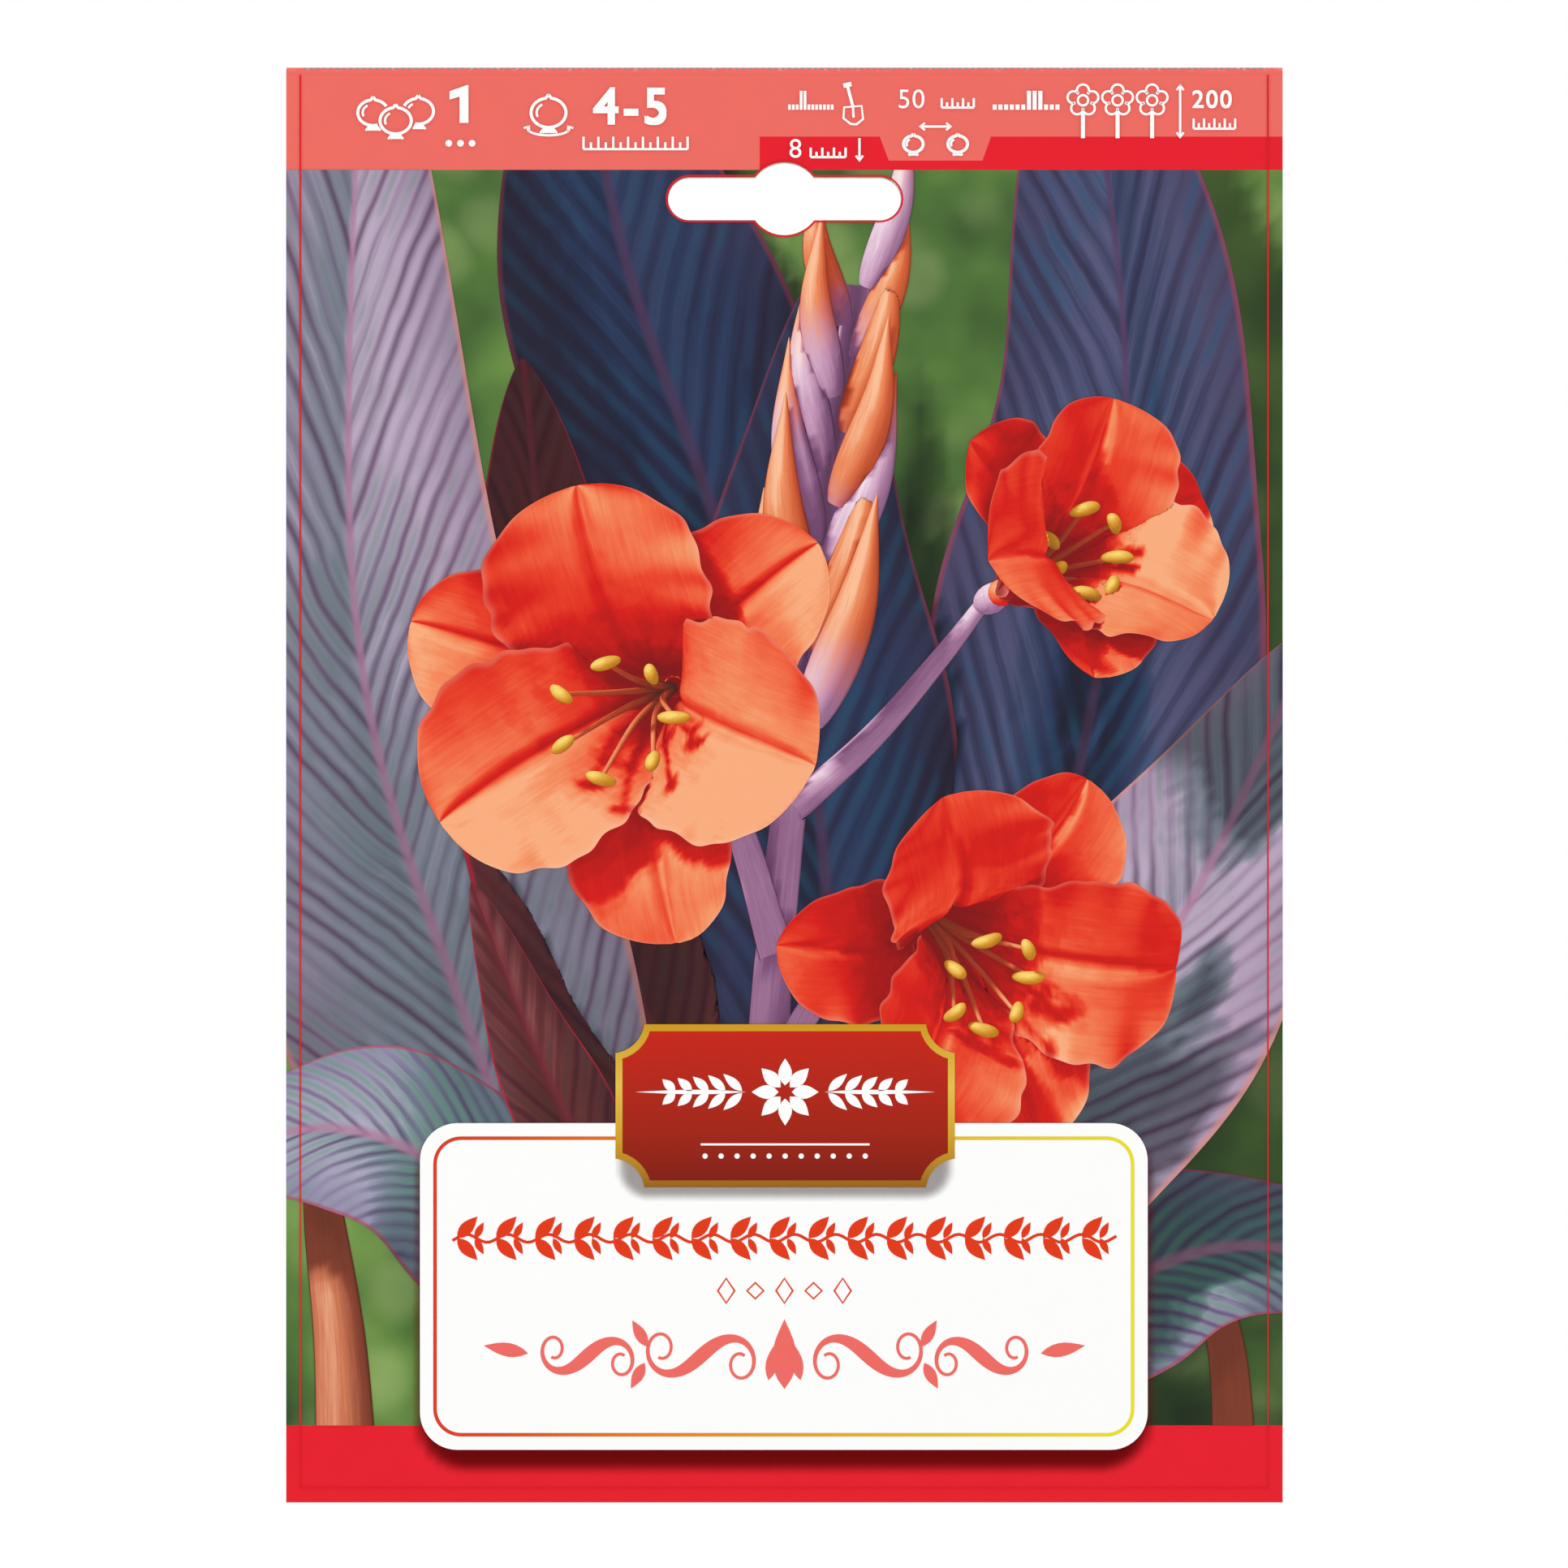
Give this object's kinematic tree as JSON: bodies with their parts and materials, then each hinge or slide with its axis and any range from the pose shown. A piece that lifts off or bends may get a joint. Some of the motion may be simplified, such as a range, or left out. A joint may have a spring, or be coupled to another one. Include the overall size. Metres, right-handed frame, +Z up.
{
  "type": "flower bulb packet",
  "caption": "Retail hang packet for a flower bulb: a printed card with a euro slot, folded over the header of a clear vented film bag that holds a rhizome in wood shavings.",
  "frame": {"origin": "centre of the euro slot, midway through the folded header", "axes": "+Z up along the card's height, +Y from the printed front towards the bag's back, +X to the right of someone facing the printed front"},
  "size_m": [0.1368, 0.0351, 0.1972],
  "materials": {
    "card": "printed and gloss varnished on the front and flap, uncoated greyish white on the reverse",
    "film": "clear, glossy, wrinkled at its welded edges",
    "glue": "hot-melt, satin",
    "rhizome": "dry papery bark, ringed by leaf scars",
    "shavings": "raw, matt"
  },
  "bodies": {
    "root": {"card": "card", "film_bag": "film", "glue_front_upper": "glue", "glue_back_upper": "glue", "glue_front_lower": "glue", "glue_back_lower": "glue", "rhizome": "rhizome", "wood_shavings": "shavings"}
  },
  "joints": []
}
